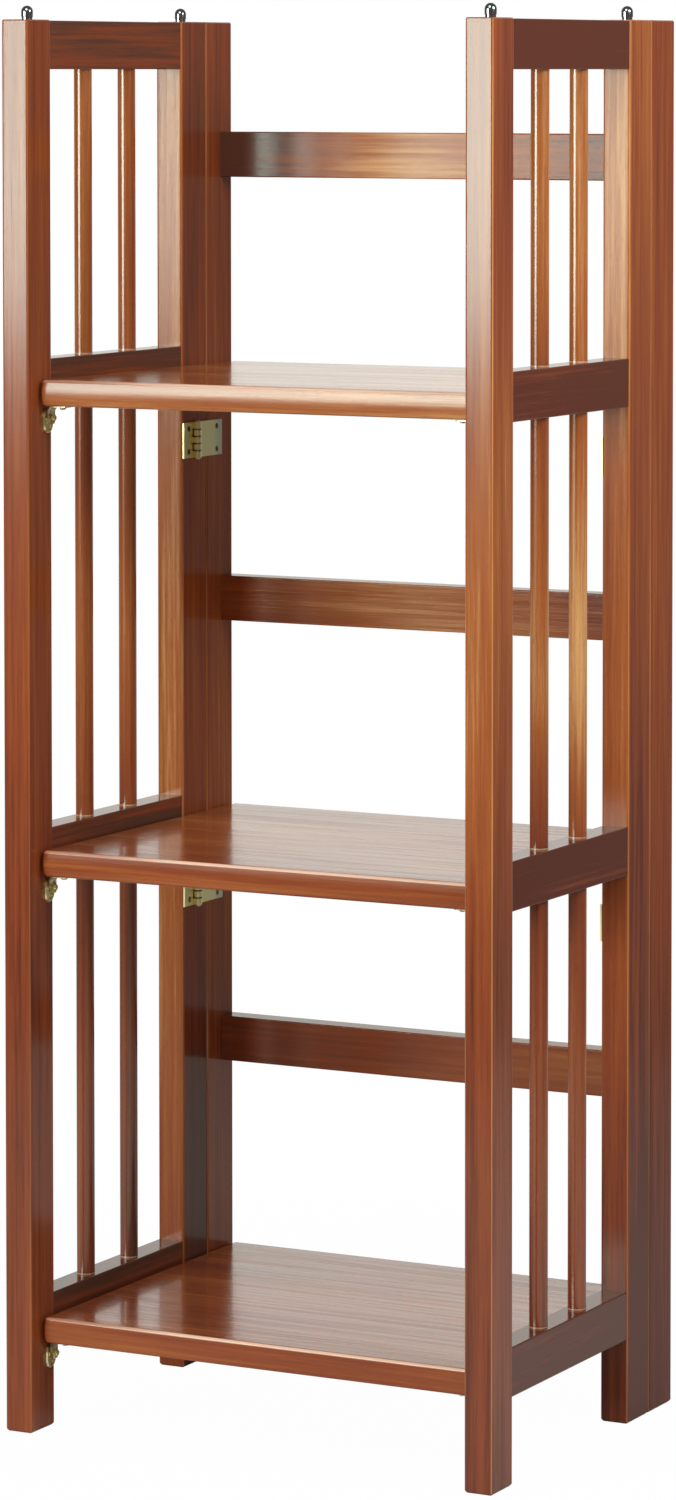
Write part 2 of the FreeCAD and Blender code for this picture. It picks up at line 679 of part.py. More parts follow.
# ---------------------------------------------------------------- shelf catches
def keeper(label, side, bottom):
    """An oval plate with a dished middle, held on the post by the stud through it."""
    body = new_body(label)
    middle = bottom - keeper_top_gap - keeper_high / 2
    put(body, side * (post_inner - keeper_thick / 2), keeper_y, middle)
    outline = sketch_on(body, "keeper_outline", "X", -keeper_thick / 2)
    draw(outline, stadium(0, keeper_wide, keeper_high))
    pad(body, "keeper_plate", outline, keeper_thick)
    face = -side * keeper_thick / 2
    dress(body, "Chamfer", "keeper_rim_bevel", keeper_rim / 2,
          lambda edge: near(edge.BoundBox.XMin, face) and near(edge.BoundBox.XMax, face))
    dish = sketch_on(body, "dish_outline", "X", face)
    draw(dish, stadium(0, keeper_wide - keeper_rim * 2, keeper_high - keeper_rim * 2))
    cut(body, "dish", dish, "X", side, keeper_dish)
    hole = sketch_on(body, "stud_hole_outline", "X", face)
    draw_circles(hole, [(0, bottom - stud_drop - middle)], screw_thick / 2 + glue_line)
    cut(body, "stud_hole", hole, "X", side, keeper_thick)
    return body


def stud_profile():
    """A shoulder screw: shank in the post, flange in the keeper's dish, neck for the clip,
    and a round head with a driver socket. Zero is the post's face."""
    shank, neck, head = screw_thick / 2, stud_neck / 2, stud_head / 2
    floor = keeper_thick - keeper_dish
    head_start = keeper_thick + stud_neck_long
    head_end = head_start + stud_head_long
    bevel = (stud_head - stud_socket) / 4
    return profile_of("stud_profile", [
        (0, -stud_shank_long), (shank, -stud_shank_long + shank), (shank, floor),
        (stud_flange / 2, floor), (stud_flange / 2, keeper_thick), (neck, keeper_thick),
        (neck, head_start), (head, head_start), (head, head_end - bevel),
        (head - bevel, head_end), (stud_socket / 2, head_end),
        (stud_socket / 2, head_end - stud_socket_deep), (0, head_end - stud_socket_deep)])


def studs(label, side, profile):
    return group(label, [turned(profile, f"{label}_{name}", away_from_wood(side),
                                side * post_inner, keeper_y, level)
                         for name, level in zip(LEVELS, stud_heights)])


def clip(name, side, bottom):
    """A bent strip: a tab under the shelf, and a leg whose slot drops over the stud's neck."""
    body = doc.addObject("PartDesign::Body", name)
    put(body, side * clip_outer, keeper_y, bottom)
    drop = stud_drop + clip_past_stud
    section = sketch_on(body, "clip_section", "Y")
    inside = clip_bend - clip_thick
    draw(section, [(0, -drop), (clip_thick, -drop), (clip_thick, -clip_bend),
                   (clip_bend, -clip_thick, inside, -1), (clip_tab, -clip_thick), (clip_tab, 0),
                   (clip_bend, 0), (0, -clip_bend, clip_bend, 1)], mirror=-side)
    pad(body, "clip_strip", section, clip_wide, midplane=True)
    slot_half = stud_neck / 2 + slot_gap
    slot_top = -stud_drop + stud_neck / 2 + seat_gap
    slot = sketch_on(body, "slot_outline", "X")
    draw(slot, [(-slot_half, -drop - clip_thick), (slot_half, -drop - clip_thick),
                (slot_half, slot_top - slot_half), (0, slot_top, slot_half, 1),
                (-slot_half, slot_top - slot_half, slot_half, 1)])
    cut(body, "slot", slot, "X", -side, clip_thick)
    holes = sketch_on(body, "screw_hole_outlines", "Z")
    draw_circles(holes, [(side * (clip_screw_x - clip_outer), 0)], screw_thick / 2 + glue_line)
    cut(body, "screw_holes", holes, "Z", -1, clip_thick)
    dress(body, "Fillet", "prong_corners", clip_corner,
          lambda edge: runs_along(edge, "x") and near(edge.BoundBox.ZMax, -drop)
          and near(abs(edge.BoundBox.Center.y), clip_wide / 2))
    return body


def clip_screw_profile():
    """A pan-headed wood screw, pointing up through the tab, zero at the tab's underside."""
    shank, head = screw_thick / 2, screw_head / 2
    bevel = pan_head_high / 2
    return profile_of("clip_screw_profile", [
        (0, pan_head_high), (0, -screw_long), (shank, -screw_long + shank), (shank, 0), (head, 0),
        (head, pan_head_high - bevel), (head - bevel, pan_head_high)])


def clip_screws(label, bottom, profile):
    down = Rotation(Vector(1, 0, 0), -90)
    return group(label, [turned(profile, f"{label}_{name}", down, side * clip_screw_x, keeper_y,
                                bottom - clip_thick) for name, side in SIDES])


# ---------------------------------------------------------------- the bookcase
pin_profile = hinge_pin_profile()
flush_screw = leaf_screw_profile()
round_screw = clip_screw_profile()
shoulder_screw = stud_profile()

for side_name, side in SIDES:
    stile(f"back_stile_{side_name}", side)
for level_name, bottom in zip(LEVELS, back_rail_bottoms):
    back_rail(f"back_rail_{level_name}", bottom)
pivot_pins("shelf_pivot_pins")

for side_name, side in SIDES:
    post(f"{side_name}_front_post", side, "front")
    post(f"{side_name}_rear_post", side, "rear")
    for number, (rail_name, bottom) in enumerate(zip(rail_names, rail_bottoms)):
        side_rail(f"{side_name}_rail_{rail_name}", side, bottom, number < 3, number > 0)
    for number, level_name in enumerate(LEVELS):
        spindles(f"{side_name}_spindles_{level_name}", side, rail_bottoms[number], rail_bottoms[number + 1])
    stacking_pin(f"{side_name}_stacking_pin_front", side, post_front + stack_inset)
    stacking_pin(f"{side_name}_stacking_pin_rear", side, bay_back + stack_inset)
    for hinge_name, middle in zip(hinge_names, hinge_middles):
        hinge_leaf(f"{side_name}_post_leaf_{hinge_name}", side, middle, rearward=False)
        hinge_leaf(f"{side_name}_stile_leaf_{hinge_name}", side, middle, rearward=True)
    hinge_pins(f"{side_name}_hinge_pins", side, pin_profile)
    leaf_screws(f"{side_name}_post_leaf_screws", [side], flush_screw, post_inner, post_leaf_screw_y)
    for level_name, bottom in zip(LEVELS, shelf_bottoms):
        keeper(f"{side_name}_keeper_{level_name}", side, bottom)
    studs(f"{side_name}_studs", side, shoulder_screw)
leaf_screws("stile_leaf_screws", (-1, 1), flush_screw, stile_inner, stile_leaf_screw_y)

for level_name, bottom in zip(LEVELS, shelf_bottoms):
    shelf(f"shelf_{level_name}", bottom)
    clips = [clip(f"clip_{level_name}_{side_name}", side, bottom) for side_name, side in SIDES]
    group(f"shelf_clips_{level_name}", clips)
    clip_screws(f"shelf_clip_screws_{level_name}", bottom, round_screw)

doc.recompute()
for thing in doc.Objects:
    if "Invalid" in thing.State or "Error" in thing.State:
        raise RuntimeError(f"{thing.Label} failed to recompute")
for piece in pieces:
    if piece.Shape.isNull() or not piece.Shape.isValid():
        raise RuntimeError(f"{piece.Label} has no valid shape")

os.makedirs("parts", exist_ok=True)
for piece in pieces:
    piece.Shape.exportStep(f"parts/{piece.Label}.step")
print(len(pieces), "pieces written")
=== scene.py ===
import math

import bpy
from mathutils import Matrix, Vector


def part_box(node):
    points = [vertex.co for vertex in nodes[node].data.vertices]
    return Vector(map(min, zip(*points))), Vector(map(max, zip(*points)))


# Folding bookcase of red-brown stained wood with brass hinges and catches.
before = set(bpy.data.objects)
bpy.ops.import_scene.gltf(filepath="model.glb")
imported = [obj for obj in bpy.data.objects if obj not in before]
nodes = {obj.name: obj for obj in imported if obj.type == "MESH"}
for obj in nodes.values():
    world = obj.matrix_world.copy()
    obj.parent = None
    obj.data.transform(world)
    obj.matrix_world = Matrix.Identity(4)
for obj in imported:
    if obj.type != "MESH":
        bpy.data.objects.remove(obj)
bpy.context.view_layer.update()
bpy.ops.object.select_all(action="DESELECT")

# ---------------------------------------------------------------- camera
# Eye level with the posts' tops, to the right of the bookcase and 3.7 metres off, with a
# long lens. The film is shifted down and left to take in the feet.
camera_place = (1.721, -3.258, 0.932)
camera_yaw = math.radians(27.37)
camera_dip = math.radians(2.74)
focal_length = 129.07
film_shift = (-0.0322, -0.2827)

bpy.ops.object.camera_add(location=camera_place, rotation=(math.pi / 2 - camera_dip, 0, camera_yaw))
camera = bpy.context.object
camera.data.lens = focal_length
camera.data.shift_x, camera.data.shift_y = film_shift
bpy.context.scene.camera = camera

# ---------------------------------------------------------------- posts and stiles
# Straight-grained hardwood bars, planed and rounded on the arrises, stained red-brown and
# lacquered to a satin gloss. The arrises are paler, partly from wear of the stain and partly as
# painted highlight, most so on the right front post. No two bars took the stain alike. Each changes
# in tone from its foot to its top, and the darker feet, most of all on the right-hand bars, are
# painted shade. The rear posts' front faces are lightened as painted light.


class Wire:
    """A socket of one material's node tree, on which sums are written as sums."""

    def __init__(self, tree, socket):
        self.tree, self.socket = tree, socket

    def node(self, kind, settings, inputs, output=0):
        """Add a node: first its settings, such as an operation, then the values or wires of
        its sockets."""
        made = self.tree.nodes.new(kind)
        for name, setting in settings.items():
            setattr(made, name, setting)
        for name, value in inputs.items():
            if isinstance(value, Wire):
                self.tree.links.new(value.socket, made.inputs[name])
            else:
                made.inputs[name].default_value = value
        return Wire(self.tree, made.outputs[output])

    def maths(self, operation, *others):
        return self.node("ShaderNodeMath", {"operation": operation}, dict(enumerate((self, *others))))

    def __add__(self, other):
        return self.maths("ADD", other)

    def __mul__(self, other):
        return self.maths("MULTIPLY", other)

    def __sub__(self, other):
        return self.maths("SUBTRACT", other)

    def __rsub__(self, other):
        return self.node("ShaderNodeMath", {"operation": "SUBTRACT"}, {0: other, 1: self})

    __radd__ = __add__
    __rmul__ = __mul__

    def ramp(self, low, high):
        """Nought below low, one above high, and a smooth rise between them."""
        return self.node("ShaderNodeMapRange", {"interpolation_type": "SMOOTHSTEP"},
                         {"Value": self, "From Min": low, "From Max": high})

    def blend(self, first, second):
        """Colour first where this is nought and second where it is one."""
        return self.node("ShaderNodeMix", {"data_type": "RGBA"}, {0: self, 6: first, 7: second}, 2)

    def noise(self, scale, detail, roughness=0.5):
        """Noise between nought and one, read at this vector times scale."""
        stretched = self.node("ShaderNodeVectorMath", {"operation": "MULTIPLY"}, {0: self, 1: scale})
        return self.node("ShaderNodeTexNoise", {}, {"Vector": stretched, "Scale": 1.0,
                                                    "Detail": detail, "Roughness": roughness})

    def part(self, axis):
        """One coordinate of this vector."""
        return self.node("ShaderNodeSeparateXYZ", {}, {0: self}, "XYZ".index(axis))


def new_material(name):
    """A material, its shader, and Object coordinates in metres."""
    material = bpy.data.materials.new(name)
    material.use_nodes = True
    tree = material.node_tree
    shader = tree.nodes["Principled BSDF"]
    return material, shader, Wire(tree, tree.nodes.new("ShaderNodeTexCoord").outputs["Object"])


def feed(shader, inputs):
    """Link each wire to the shader's socket of that name, or set a plain value there."""
    for name, value in inputs.items():
        if isinstance(value, Wire):
            value.tree.links.new(value.socket, shader.inputs[name])
        else:
            shader.inputs[name].default_value = value


def dress(node, material):
    nodes[node].data.materials.clear()
    nodes[node].data.materials.append(material)


def along(grain, across, length):
    """Noise scales for streaks that run along the grain axis, from their size in millimetres."""
    return tuple(1000 / (length if axis == grain else across) for axis in "XYZ")


def even(value):
    """The same value at every place."""
    return lambda place: value


def fading(axis, stations):
    """Tone that changes along an axis: (place in metres, tone) at each station in turn."""
    def tone_at(place):
        where = place.part(axis)
        tone = stations[0][1]
        for (start, before), (end, after) in zip(stations, stations[1:]):
            tone = where.ramp(start, end) * (after - before) + tone
        return tone
    return tone_at


DARK_STAIN = (0.125, 0.028, 0.014, 1)
BROWN_STAIN = (0.120, 0.045, 0.027, 1)
RED_STAIN = (0.285, 0.062, 0.020, 1)
AMBER_STAIN = (0.430, 0.125, 0.030, 1)
THIN_STAIN = (0.780, 0.420, 0.160, 1)
# The pale colour of the bars' arrises: wear of the stain and painted highlight.
WORN_AND_HIGHLIT_STAIN = (0.860, 0.440, 0.170, 1)
# The shade at which each lighter stain sets in, the shade at which it is full, and its colour.
LIGHTER_STAINS = ((0.18, 0.55, RED_STAIN), (0.48, 0.90, AMBER_STAIN), (0.80, 1.25, THIN_STAIN))
MIDDLING_SHADE = 0.42
PORE_STAIN = 0.30
GRAIN_RELIEF = 0.18
GRAIN_DEPTH = 0.0004
LACQUER_TINT = (0.78, 0.93, 0.82, 1)
COAT_POLISH = 0.10
BOARD_SHIFT = (0.37, 0.53, 0.71)


def stain(node, grain, tone, polish, gloss=0.5, dark=DARK_STAIN, wear_and_highlight_at=None, worn=WORN_AND_HIGHLIT_STAIN,
          lie=None, relief=even(GRAIN_RELIEF), coat=None):
    """Stained and lacquered wood for a node, with its grain along one axis. Polish is the
    lacquer's roughness, gloss how much light it throws back, and dark the darkest stain. The
    rest are functions of a place. Tone says how much lighter than middling the stain is, and on
    some pieces it stands for painted light and shade; thin says from nought to one where the colour
    worn shows, which stands for wear of the stain and for painted highlight; lie is the surface's
    normal, relief how deep the grain is, and coat how thick a second coat of lacquer."""
    material, shader, place = new_material(f"stained_{node}")
    board = len(bpy.data.materials)
    shift = tuple(step * board for step in BOARD_SHIFT)
    log = place.node("ShaderNodeVectorMath", {"operation": "ADD"}, {0: place, 1: shift})
    warp = log.noise(along(grain, 45, 420), 1.0)
    figure = log.noise(along(grain, 9, 260), 2.0)
    streaks = log.noise(along(grain, 2.6, 120), 3.0, 0.6)
    fibres = log.noise(along(grain, 0.8, 16), 2.0, 0.6)
    pores = log.noise(along(grain, 0.5, 6), 1.0).ramp(0.62, 0.74)

    shade = warp * 0.50 + figure * 0.55 + streaks * 0.65 + fibres * 0.16 + (tone(place) - MIDDLING_SHADE)
    colour = dark
    for low, high, lighter in LIGHTER_STAINS:
        colour = shade.ramp(low, high).blend(colour, lighter)
    colour = (pores * PORE_STAIN).blend(colour, DARK_STAIN)
    # The paler colour laid over the stain here stands for wear and for painted highlight.
    if wear_and_highlight_at is not None:
        rubbed = (wear_and_highlight_at(place) * (streaks * 0.8 + 0.15)).maths("MINIMUM", 1.0)
        colour = rubbed.blend(colour, worn)

    height = fibres * 0.35 + streaks * 1.2 - pores * 0.12
    surface = {"Height": height, "Strength": relief(place), "Distance": GRAIN_DEPTH}
    if lie is not None:
        surface["Normal"] = lie(place)
    bump = height.node("ShaderNodeBump", {}, surface)
    feed(shader, {"Base Color": colour, "Normal": bump, "Roughness": streaks * 0.05 + polish,
                  "Specular IOR Level": gloss, "Specular Tint": LACQUER_TINT})
    if coat is not None:
        feed(shader, {"Coat Weight": coat(place), "Coat Roughness": COAT_POLISH})
    dress(node, material)


ARRIS = 0.0012
ARRIS_EDGE = 0.4 * ARRIS
FRONT_SKIN = 0.0015


def painted_light_front(node, tone, more):
    """The tone, and more than that on the front face of a bar, which is painted light."""
    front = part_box(node)[0].y

    def tone_at(place):
        behind = place.part("Y").ramp(front + FRONT_SKIN, front + 2 * FRONT_SKIN)
        return tone(place) + (1 - behind) * more
    return tone_at


def worn_and_highlit_arrises(node, rub):
    """As much as rub along the four long edges of an upright bar, nought on its faces: wear of the stain and
    painted highlight.
    """
    low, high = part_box(node)
    middle, half = (low + high) / 2, (high - low) / 2

    def mask(place):
        across = (place.part("X") - middle.x).maths("ABSOLUTE").ramp(half.x - ARRIS, half.x - ARRIS_EDGE)
        deep = (place.part("Y") - middle.y).maths("ABSOLUTE").ramp(half.y - ARRIS, half.y - ARRIS_EDGE)
        return across * deep * rub
    return mask


def stain_bar(node, polish, gloss, rub, tones, front=0.0, dark=DARK_STAIN):
    """Stain a post or stile. Tones are (height in metres, tone) from the foot up, and where they darken
    towards the foot that is painted shade. Front is how much lighter its front face is, as painted light,
    and rub how far its arrises are paled, for wear of the stain and painted highlight."""
    tone = fading("Z", tones)
    if front:
        tone = painted_light_front(node, tone, front)
    stain(node, "Z", tone, polish, gloss, dark, worn_and_highlit_arrises(node, rub))


# The tones darken towards the feet as painted shade, the rear posts' front faces are lightened as painted
# light, and the arrises are paled as wear and painted highlight.
stain_bar("back_stile_left", polish=0.14, gloss=0.55, rub=0.55, dark=BROWN_STAIN,
          tones=((0.0, 0.06), (0.45, 0.14), (0.9, -0.04)))
stain_bar("back_stile_right", polish=0.14, gloss=0.20, rub=0.65,
          tones=((0.0, -0.34), (0.45, 0.04), (0.9, 0.06)))
stain_bar("left_front_post", polish=0.13, gloss=0.50, rub=0.30,
          tones=((0.0, 0.02), (0.3, -0.08), (0.6, 0.03), (0.9, 0.02)))
stain_bar("left_rear_post", polish=0.16, gloss=0.42, rub=0.35, front=0.38, dark=BROWN_STAIN,
          tones=((0.0, -0.32), (0.35, 0.02), (0.55, 0.12), (0.85, -0.14)))
stain_bar("right_front_post", polish=0.13, gloss=0.54, rub=1.0,
          tones=((0.0, -0.12), (0.3, -0.10), (0.58, 0.30), (0.9, 0.02)))
stain_bar("right_rear_post", polish=0.16, gloss=0.27, rub=0.55, front=0.26,
          tones=((0.0, -0.60), (0.35, -0.18), (0.6, 0.04), (0.9, 0.20)))

# ---------------------------------------------------------------- rails
# Flat rails, tenoned into the posts and stiles. The side rails are darker than the posts. Each
# back rail is lighter in the middle or at the right, as painted light, and darker at the left end, as
# painted shade.
SIDE_RAIL_POLISH = 0.12
SIDE_RAIL_VARIETY = 0.03
BACK_RAIL_POLISH = 0.16

for side, tone, dark in (("left", -0.18, BROWN_STAIN), ("right", -0.38, DARK_STAIN)):
    for number, level in enumerate(("lower", "middle", "upper", "top")):
        own_tone = tone + SIDE_RAIL_VARIETY * math.sin(number * 1.9)
        stain(f"{side}_rail_{level}", "Y", even(own_tone), SIDE_RAIL_POLISH, dark=dark)

# The gloss of each back rail, and (place across in metres, tone) from left to right; these tones are painted
# light and shade.
BACK_RAILS = {"lower": (0.50, ((-0.15, -0.06), (0.15, 0.20))),
              "middle": (0.60, ((-0.15, 0.06), (0.0, 0.48), (0.07, 0.40), (0.15, 0.04))),
              "top": (0.28, ((-0.15, -0.42), (-0.03, 0.46), (0.15, -0.06)))}
for level, (gloss, tones) in BACK_RAILS.items():
    stain(f"back_rail_{level}", "X", fading("X", tones), BACK_RAIL_POLISH, gloss, BROWN_STAIN)

# ---------------------------------------------------------------- spindles
# Turned dowels, smoother and glossier than the flat pieces, most of them darker towards
# their ends, with a pale ring at their feet that is a painted highlight.
SPINDLE_POLISH = 0.15
SPINDLE_GLOSS = 0.9
SPINDLE_RELIEF = 0.05
# A painted highlight: the pale ring round the spindles' feet.
FOOT_HIGHLIGHT_COLOUR = (0.900, 0.640, 0.400, 1)
FOOT_HIGHLIGHT_HEIGHT = 0.0011
FOOT_HIGHLIGHT_EDGE = 0.0002
MIDDLE_AT = 0.45
PAIR_SPLIT = 0.002
RAIL_BELOW = {"lower": "lower", "middle": "middle", "top": "upper"}


def painted_highlight_at_feet(rail):
    """One in a ring round each spindle just above the rail, nought elsewhere: a painted highlight."""
    top_of_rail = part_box(rail)[1].z

    def mask(place):
        rise = place.part("Z") - top_of_rail
        return rise.ramp(0.0, FOOT_HIGHLIGHT_EDGE) * (1 - rise.ramp(FOOT_HIGHLIGHT_HEIGHT * 0.8, FOOT_HIGHLIGHT_HEIGHT))
    return mask


def along_spindles(node, low_end, middle, high_end, behind):
    """Tone that changes from end to end of a pair of spindles, and more for the one behind."""
    low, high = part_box(node)
    middle_height = low.z + (high.z - low.z) * MIDDLE_AT
    between = (low.y + high.y) / 2
    tone = fading("Z", ((low.z, low_end), (middle_height, middle), (high.z, high_end)))

    def tone_at(place):
        return tone(place) + place.part("Y").ramp(between - PAIR_SPLIT, between + PAIR_SPLIT) * behind
    return tone_at


# Tones from the lower pair to the top one: at the low end, near the middle and at the high
# end, and how much lighter the spindle behind is.
SPINDLE_TONES = {"left": ((-0.12, -0.02, -0.14, 0.0), (0.10, 0.34, 0.10, 0.0), (0.34, 0.26, 0.30, 0.0)),
                 "right": ((-0.10, 0.18, -0.02, 0.08), (-0.08, 0.40, 0.20, 0.08), (0.18, 0.36, 0.30, 0.10))}
for side, dark in (("left", BROWN_STAIN), ("right", DARK_STAIN)):
    for (level, rail), tones in zip(RAIL_BELOW.items(), SPINDLE_TONES[side]):
        node = f"{side}_spindles_{level}"
        stain(node, "Z", along_spindles(node, *tones), SPINDLE_POLISH, SPINDLE_GLOSS, dark,
              painted_highlight_at_feet(f"{side}_rail_{rail}"), FOOT_HIGHLIGHT_COLOUR, relief=even(SPINDLE_RELIEF))

# ---------------------------------------------------------------- shelves
# Boards glued up from strips of differing tone. The lacquer lies thick on top and follows
# the grain there. Along the upper edge in front the shelf is paler, partly from wear and partly as painted
# highlight, least at the left end.
SHELF_POLISH = 0.17
STRIP_WIDE = 0.042
STRIP_VARIETY = 0.24
JOINT_SHARE = 0.018
JOINT_DARKER = 0.5
STEEP_TO_SLOPING = (0.34, 0.75)
BULGE_KEPT = 0.35
LEVEL = 0.98
# The paler upper front edge of the shelves is wear and painted highlight.
EDGE_WEAR_AND_HIGHLIGHT = 0.0012
LEFT_END_HIGHLIGHT_FADE = (-0.16, -0.03)
WORN_AND_HIGHLIT_EDGE = (0.930, 0.620, 0.450, 1)


def strips(tone, slope, first):
    """The tone of each glued strip: slope is how much lighter it gets per metre to the right,
    and first where in a strip the board's middle lies."""
    def strip_tone(place):
        across = place.part("Y") * (1 / STRIP_WIDE) + first
        strip = across.maths("FLOOR")
        own = strip.node("ShaderNodeTexWhiteNoise", {"noise_dimensions": "1D"}, {"W": strip})
        joint = 1 - across.maths("FRACT").ramp(0.0, JOINT_SHARE)
        return (own * STRIP_VARIETY - joint * JOINT_DARKER + place.part("X") * slope
                + (tone - STRIP_VARIETY / 2))
    return strip_tone


def own_normal(place):
    """The shelf's normal in its own directions."""
    return Wire(place.tree, place.tree.nodes.new("ShaderNodeTexCoord").outputs["Normal"])


def on_top(place, low):
    """One where the shelf faces straight up or down, and nought on its edges."""
    return own_normal(place).part("Z").maths("ABSOLUTE").ramp(low, LEVEL)


def flat_front(place):
    """The shelf's own normal, with the slight bulge of its edges pressed flatter still."""
    own = own_normal(place)
    kept = own.part("Z").maths("ABSOLUTE").ramp(*STEEP_TO_SLOPING) * (1 - BULGE_KEPT) + BULGE_KEPT
    squash = kept.node("ShaderNodeCombineXYZ", {}, {0: 1.0, 1: 1.0, 2: kept})
    flat = own.node("ShaderNodeVectorMath", {"operation": "MULTIPLY"}, {0: own, 1: squash})
    return flat.node("ShaderNodeVectorTransform", {"vector_type": "NORMAL", "convert_from": "OBJECT",
                                                   "convert_to": "WORLD"}, {0: flat})


def rubbed_edge(node):
    """Above nought along the upper edge in front of a shelf, where wear and painted highlight pale it, and
    least at its left end.
    """
    low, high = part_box(node)

    def mask(place):
        up = place.part("Z").ramp(high.z - 2 * EDGE_WEAR_AND_HIGHLIGHT, high.z - EDGE_WEAR_AND_HIGHLIGHT)
        front = 1 - place.part("Y").ramp(low.y + 2 * EDGE_WEAR_AND_HIGHLIGHT, low.y + 3 * EDGE_WEAR_AND_HIGHLIGHT)
        return up * front * (place.part("X").ramp(*LEFT_END_HIGHLIGHT_FADE) * 1.4 + 0.5)
    return mask


def relief_on_top(place):
    """Deeper grain in the lacquer on top than on the edges."""
    return on_top(place, 0.70) * 0.42 + 0.10


def broken_coat(place):
    """A thick coat on top, thinner along some of the grain."""
    grain = place.noise(along("X", 5, 200), 2.0, 0.6).ramp(0.34, 0.62)
    return on_top(place, 0.80) * (grain * 0.34 + 0.24)


# Each shelf's tone, its slope and its gloss.
SHELVES = {"lower": (0.17, 0.1, 0.46), "middle": (0.20, -0.1, 0.38), "top": (0.38, 0.9, 0.60)}
for number, (level, (tone, slope, gloss)) in enumerate(SHELVES.items()):
    node = f"shelf_{level}"
    stain(node, "X", strips(tone, slope, 7 * number + 0.3), SHELF_POLISH, gloss,
          wear_and_highlight_at=rubbed_edge(node), worn=WORN_AND_HIGHLIT_EDGE, lie=flat_front, relief=relief_on_top, coat=broken_coat)

# ---------------------------------------------------------------- hinges and catches
# Brass-plated pressed sheet, with turned brass pins and studs. It has dulled in clouds, and is
# greyer towards the outer ends of the leaves. The knuckles are bright from wear and partly as painted
# highlight, with painted shade in the gaps between them, and the screws and the catches' clips are
# darkened as painted shade.
BRASS = (0.980, 0.890, 0.430, 1)
DULL_BRASS = (0.960, 0.900, 0.540, 1)
GREY_BRASS = (0.560, 0.600, 0.560, 1)
BROWN_BRASS = (0.300, 0.250, 0.120, 1)
PAINTED_SHADE = (0.050, 0.038, 0.022, 1)
CLOUDS = (260, 260, 260)
KNUCKLES = 5
KNUCKLE_RADIUS = 0.0030
LEAF_EDGE = 0.0010
GREY_PAST_PIN = 0.026
GREY_BEFORE_END = 0.004


def brass(name, bright, dull, polish, marked=None):
    """Plated brass that clouds from bright to dull. Marked changes its colour at a place."""
    material, shader, place = new_material(name)
    cloud = place.noise(CLOUDS, 3.0)
    colour = cloud.ramp(0.35, 0.70).blend(bright, dull)
    if marked is not None:
        colour = marked(place, colour)
    feed(shader, {"Base Color": colour, "Roughness": cloud * 0.16 + polish, "Metallic": 1.0})
    return material


def hinge_marks(side, level):
    """The marks of one hinge, placed by its pin, its knuckles and its leaf's outer end: greyer outer ends,
    knuckles bright from wear and partly as painted highlight, and painted shade in the gaps between the
    knuckles.
    """
    pin_low, pin_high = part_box(f"{side}_hinge_pins")
    leaf_low, leaf_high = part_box(f"{side}_stile_leaf_{level}")
    pin_y = (pin_low.y + pin_high.y) / 2
    knuckles_per_metre = KNUCKLES / (leaf_high.z - leaf_low.z)

    def marked(place, colour):
        across, up = place.part("Y"), place.part("Z")
        outer_end = across.ramp(pin_y + GREY_PAST_PIN, leaf_high.y - GREY_BEFORE_END)
        rubbed = 1 - (across - pin_y).maths("ABSOLUTE").ramp(KNUCKLE_RADIUS, KNUCKLE_RADIUS * 1.1)
        share = ((up - leaf_low.z) * knuckles_per_metre).maths("FRACT")
        gap = (share - 0.5).maths("ABSOLUTE").ramp(0.36, 0.44)
        above = up.ramp(leaf_low.z + LEAF_EDGE, leaf_low.z + LEAF_EDGE * 1.6)
        below = 1 - up.ramp(leaf_high.z - LEAF_EDGE * 1.6, leaf_high.z - LEAF_EDGE)
        colour = (outer_end * 0.60).blend(colour, GREY_BRASS)
        # The knuckles: bright from wear and partly a painted highlight.
        colour = rubbed.blend(colour, BRASS)
        # Painted shade in the gaps between the knuckles.
        return (rubbed * gap * above * below).blend(colour, PAINTED_SHADE)
    return marked


bright_brass = brass("bright_brass", BRASS, DULL_BRASS, 0.20)
# The screws and the catches' clips are darkened as painted shade.
screw_brass = brass("painted_shade_screw_brass", BROWN_BRASS, PAINTED_SHADE, 0.24)
clip_brass = brass("dull_brass", DULL_BRASS, BROWN_BRASS, 0.26)
for side in ("left", "right"):
    for level in ("lower", "upper"):
        hinge_brass = brass(f"brass_{side}_{level}_hinge", BRASS, DULL_BRASS, 0.30, hinge_marks(side, level))
        dress(f"{side}_post_leaf_{level}", hinge_brass)
        dress(f"{side}_stile_leaf_{level}", hinge_brass)
for node in nodes:
    if "leaf_screws" in node:
        dress(node, screw_brass)
    elif "clip" in node:
        dress(node, clip_brass)
    elif any(word in node for word in ("hinge_pins", "keeper", "studs")):
        dress(node, bright_brass)

# ---------------------------------------------------------------- pins
# Turned steel, set into the wood: dark chrome on the stacking pins on the post tops, and
# plain steel for the shelves' pivot pins.
DARK_CHROME = (0.40, 0.41, 0.42, 1)
PLAIN_STEEL = (0.55, 0.55, 0.54, 1)
SMEARS = (300, 300, 300)

for name, word, colour, polish in (("dark_chrome", "stacking_pin", DARK_CHROME, 0.05),
                                   ("plain_steel", "pivot_pins", PLAIN_STEEL, 0.25)):
    material, shader, place = new_material(name)
    smeared = place.noise(SMEARS, 2.0) * 0.06 + polish
    feed(shader, {"Base Color": colour, "Roughness": smeared, "Metallic": 1.0})
    for node in nodes:
        if word in node:
            dress(node, material)

# ---------------------------------------------------------------- floor
# A white floor. The camera sees it almost as full white, with a trace of the bookcase's
# shadow near the feet.
FLOOR_SIZE = 2.6
FLOOR_DROP = 0.0003
FLOOR_WHITE = (0.80, 0.80, 0.80, 1)
FULL_WHITE = (1, 1, 1, 1)
SHADOW_SHARE = 0.015
SHADOW_FADES = (0.35, 1.20)


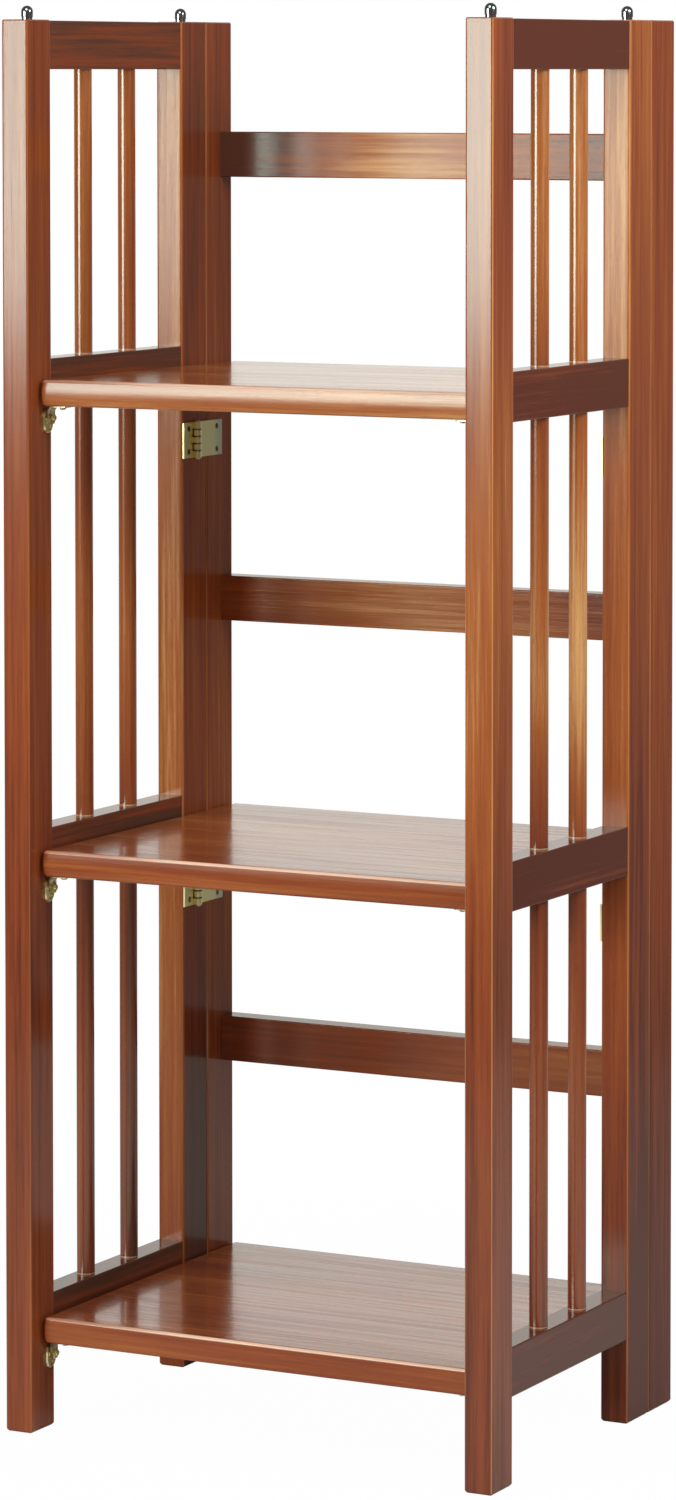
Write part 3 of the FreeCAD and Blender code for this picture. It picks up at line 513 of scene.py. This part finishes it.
def camera_rays(tree):
    """One for rays from the camera, also after they pass through a piece."""
    path = tree.nodes.new("ShaderNodeLightPath")
    straight = Wire(tree, path.outputs["Is Camera Ray"])
    return straight.maths("MAXIMUM", Wire(tree, path.outputs["Is Transmission Ray"]))


bpy.ops.mesh.primitive_plane_add(size=FLOOR_SIZE, location=(0, 0, -FLOOR_DROP))
floor = bpy.context.object
floor.name = "floor"
material, shader, place = new_material("white_sweep")
tree = material.node_tree
tree.nodes.remove(shader)
matt = place.node("ShaderNodeBsdfDiffuse", {}, {"Color": FLOOR_WHITE})
glow = place.node("ShaderNodeEmission", {}, {"Color": FULL_WHITE, "Strength": 1.0})
away = place.node("ShaderNodeVectorMath", {"operation": "LENGTH"}, {0: place}, 1).ramp(*SHADOW_FADES)
white = camera_rays(tree) * (away * SHADOW_SHARE + (1 - SHADOW_SHARE))
seen = place.node("ShaderNodeMixShader", {}, {0: white, 1: matt, 2: glow})
tree.links.new(seen.socket, tree.nodes["Material Output"].inputs["Surface"])
floor.data.materials.append(material)

# ---------------------------------------------------------------- light
# A soft light in front on the left at the height of the post tops, one above in front and a
# small one on the right. Polished pieces mirror a bright backdrop behind the bookcase and a
# dim room elsewhere, and the camera sees plain white.
TO_BACKDROP = (-0.46, 0.888, 0.0)
BACKDROP_EDGES = (0.58, 0.92)
BACKDROP_MIRRORED = 0.97
ROOM_MIRRORED = 0.13
ROOM_LIGHT = 0.25
WARM_WHITE = (1, 0.985, 0.92, 1)

world = bpy.data.worlds.new("studio")
bpy.context.scene.world = world
world.use_nodes = True
tree = world.node_tree
camera_ray = camera_rays(tree)
glossy_ray = Wire(tree, tree.nodes.new("ShaderNodeLightPath").outputs["Is Glossy Ray"])
outward = Wire(tree, tree.nodes.new("ShaderNodeTexCoord").outputs["Generated"])
facing = outward.node("ShaderNodeVectorMath", {"operation": "DOT_PRODUCT"}, {0: outward, 1: TO_BACKDROP}, 1)
mirrored = facing.ramp(*BACKDROP_EDGES) * (BACKDROP_MIRRORED - ROOM_MIRRORED) + ROOM_MIRRORED
strength = glossy_ray * mirrored + (1 - glossy_ray) * ROOM_LIGHT
strength = camera_ray + (1 - camera_ray) * strength
background = tree.nodes["Background"]
feed(background, {"Strength": strength, "Color": camera_ray.blend(WARM_WHITE, FULL_WHITE)})


def soft_light(name, place, aim, wide, high, radiance):
    """A rectangular soft light that faces a point, with the given brightness of its face."""
    bpy.ops.object.light_add(type="AREA", location=place)
    lamp = bpy.context.object
    lamp.name = name
    lamp.data.shape = "RECTANGLE"
    lamp.data.size, lamp.data.size_y = wide, high
    lamp.data.energy = radiance * math.pi * wide * high
    towards = [end - start for start, end in zip(place, aim)]
    flat = math.hypot(towards[0], towards[1])
    lamp.rotation_euler = (math.pi / 2 + math.atan2(towards[2], flat), 0,
                           math.atan2(-towards[0], towards[1]))


soft_light("front_left_light", place=(-1.25, -2.75, 0.93), aim=(0, 0, 0.93),
           wide=1.3, high=0.65, radiance=14.0)
soft_light("top_light", place=(0.30, -1.90, 2.50), aim=(0, 0, 0.60),
           wide=1.2, high=1.2, radiance=5.5)
soft_light("right_light", place=(1.12, -0.20, 1.27), aim=(0, 0, 0.85),
           wide=0.5, high=0.5, radiance=11.0)

# ---------------------------------------------------------------- finish
# Colours are shown as they are, without a film look.
bpy.context.scene.view_settings.view_transform = "Standard"
